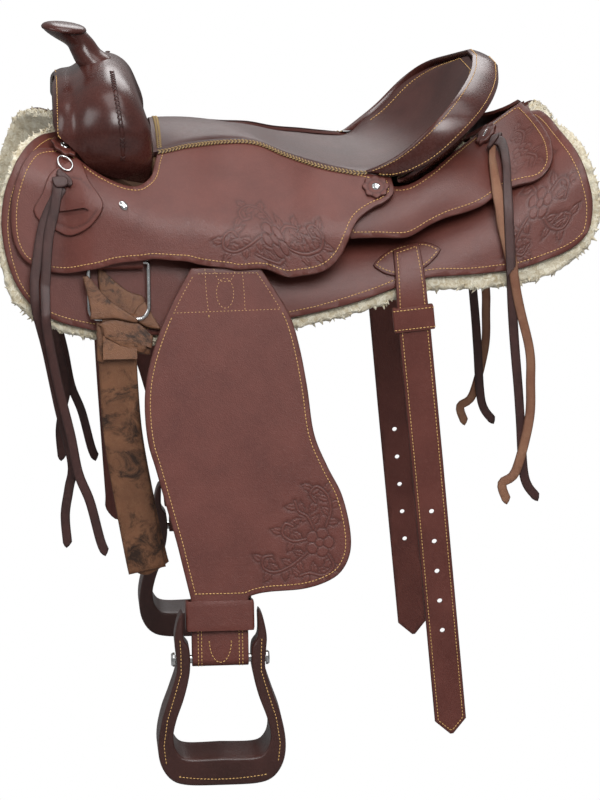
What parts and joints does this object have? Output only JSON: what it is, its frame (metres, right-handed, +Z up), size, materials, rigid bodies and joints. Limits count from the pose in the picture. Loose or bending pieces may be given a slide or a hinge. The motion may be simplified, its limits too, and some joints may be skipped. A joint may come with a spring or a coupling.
{
  "type": "reining saddle",
  "caption": "Western reining saddle: padded seat, low horn, stamped skirts and jockeys, shearling, rigging dees, fenders and stirrups.",
  "frame": {"origin": "on the horse's spine line under the lowest part of the seat", "axes": "-X toward the horse's head, -Y toward its left (near) side, +Z up"},
  "size_m": [0.714, 0.6206, 0.8599],
  "materials": {
    "russet_leather": "oiled, floral stamped",
    "dark_leather": "smooth, waxed",
    "seat_leather": "smooth, padded",
    "worn_latigo": "worn, oiled",
    "lace_leather": "smooth",
    "shearling": "woolskin pile",
    "tree_wood": "sealed",
    "ground_leather": "skived, rough",
    "stainless_steel": "polished"
  },
  "bodies": {
    "saddle": {"back_jockey_left": "russet_leather", "back_jockey_right": "russet_leather", "billet_patch_left": "russet_leather", "billet_patch_right": "russet_leather", "cantle_back": "dark_leather", "cantle_board": "tree_wood", "cantle_roll": "dark_leather", "fork": "tree_wood", "front_rosette_left": "russet_leather", "front_rosette_right": "russet_leather", "ground_seat": "ground_leather", "horn_cap": "dark_leather", "horn_neck_cover": "dark_leather", "horn_post": "stainless_steel", "jockey_screw_left": "stainless_steel", "jockey_screw_right": "stainless_steel", "latigo_holder": "russet_leather", "rear_rosette_left": "russet_leather", "rear_rosette_right": "russet_leather", "rigging_loop_left": "russet_leather", "rigging_loop_right": "russet_leather", "seat_jockey_left": "russet_leather", "seat_jockey_right": "russet_leather", "seat_pad": "seat_leather", "seat_rosette_left": "russet_leather", "seat_rosette_right": "russet_leather", "shearling_left": "shearling", "shearling_right": "shearling", "skirt_left": "russet_leather", "skirt_right": "russet_leather", "stirrup_hanger_left": "russet_leather", "stirrup_hanger_right": "russet_leather", "swell_cover": "dark_leather", "tree_bar_left": "tree_wood", "tree_bar_right": "tree_wood"},
    "fender_left": {"fender_left": "russet_leather", "stirrup_leather_left": "russet_leather", "hobble_strap_left": "russet_leather"},
    "stirrup_left": {"stirrup_left": "russet_leather", "stirrup_bolt_left": "stainless_steel"},
    "dee_left": {"rigging_dee_left": "stainless_steel"},
    "latigo": {"latigo": "worn_latigo"},
    "flank_billet_left": {"flank_billet_left": "russet_leather"},
    "billet_keeper_left": {"billet_keeper_left": "russet_leather"},
    "front_string_left": {"front_string_left": "lace_leather", "string_ring_left": "stainless_steel"},
    "rear_string_left": {"rear_string_left": "lace_leather"},
    "fender_right": {"fender_right": "russet_leather", "stirrup_leather_right": "russet_leather", "hobble_strap_right": "russet_leather"},
    "stirrup_right": {"stirrup_right": "russet_leather", "stirrup_bolt_right": "stainless_steel"},
    "dee_right": {"rigging_dee_right": "stainless_steel"},
    "off_billet": {"off_billet": "russet_leather"},
    "flank_billet_right": {"flank_billet_right": "russet_leather"},
    "billet_keeper_right": {"billet_keeper_right": "russet_leather"},
    "front_string_right": {"front_string_right": "lace_leather", "string_ring_right": "stainless_steel"},
    "rear_string_right": {"rear_string_right": "lace_leather"}
  },
  "joints": [
    {"name": "fender_swing_left", "type": "hinge", "parent": "saddle", "child": "fender_left", "pos_m": [-0.11, -0.19335, -0.066], "axis": [0, -0.9781, 0.2079], "range_deg": [-22, 22]},
    {"name": "stirrup_turn_left", "type": "hinge", "parent": "fender_left", "child": "stirrup_left", "pos_m": [-0.118, -0.27724, -0.503], "axis": [-1, 0, 0], "range_deg": [-35, 35]},
    {"name": "dee_lift_left", "type": "hinge", "parent": "saddle", "child": "dee_left", "pos_m": [-0.228, -0.178, -0.0486], "axis": [-1, 0, 0], "range_deg": [0, 15]},
    {"name": "latigo_lift", "type": "hinge", "parent": "dee_left", "child": "latigo", "pos_m": [-0.228, -0.19177, -0.1134], "axis": [-1, 0, 0], "range_deg": [0, 45]},
    {"name": "flank_billet_lift_left", "type": "hinge", "parent": "saddle", "child": "flank_billet_left", "pos_m": [0.13, -0.15408, -0.03228], "axis": [1, 0, 0], "range_deg": [-60, 0]},
    {"name": "keeper_slide_left", "type": "slide", "parent": "flank_billet_left", "child": "billet_keeper_left", "axis": [0.097, -0.0347, -0.9947], "range_m": [0, 0.15]},
    {"name": "front_string_lift_left", "type": "hinge", "parent": "saddle", "child": "front_string_left", "pos_m": [-0.287, -0.13785, 0.07163], "axis": [-1, 0, 0], "range_deg": [0, 50]},
    {"name": "rear_string_lift_left", "type": "hinge", "parent": "saddle", "child": "rear_string_left", "pos_m": [0.233, -0.06247, 0.08135], "axis": [1, 0, 0], "range_deg": [-50, 0]},
    {"name": "fender_swing_right", "type": "hinge", "parent": "saddle", "child": "fender_right", "pos_m": [-0.11, 0.19335, -0.066], "axis": [0, -0.9781, -0.2079], "range_deg": [-22, 22]},
    {"name": "stirrup_turn_right", "type": "hinge", "parent": "fender_right", "child": "stirrup_right", "pos_m": [-0.118, 0.27724, -0.503], "axis": [1, 0, 0], "range_deg": [-35, 35]},
    {"name": "dee_lift_right", "type": "hinge", "parent": "saddle", "child": "dee_right", "pos_m": [-0.228, 0.178, -0.0486], "axis": [1, 0, 0], "range_deg": [0, 15]},
    {"name": "off_billet_lift", "type": "hinge", "parent": "dee_right", "child": "off_billet", "pos_m": [-0.228, 0.19177, -0.1134], "axis": [1, 0, 0], "range_deg": [0, 45]},
    {"name": "flank_billet_lift_right", "type": "hinge", "parent": "saddle", "child": "flank_billet_right", "pos_m": [0.13, 0.15408, -0.03228], "axis": [-1, 0, 0], "range_deg": [-60, 0]},
    {"name": "keeper_slide_right", "type": "slide", "parent": "flank_billet_right", "child": "billet_keeper_right", "axis": [0.097, 0.0347, -0.9947], "range_m": [0, 0.15]},
    {"name": "front_string_lift_right", "type": "hinge", "parent": "saddle", "child": "front_string_right", "pos_m": [-0.287, 0.1357, 0.06793], "axis": [1, 0, 0], "range_deg": [0, 50]},
    {"name": "rear_string_lift_right", "type": "hinge", "parent": "saddle", "child": "rear_string_right", "pos_m": [0.233, 0.06247, 0.08135], "axis": [-1, 0, 0], "range_deg": [-50, 0]}
  ]
}
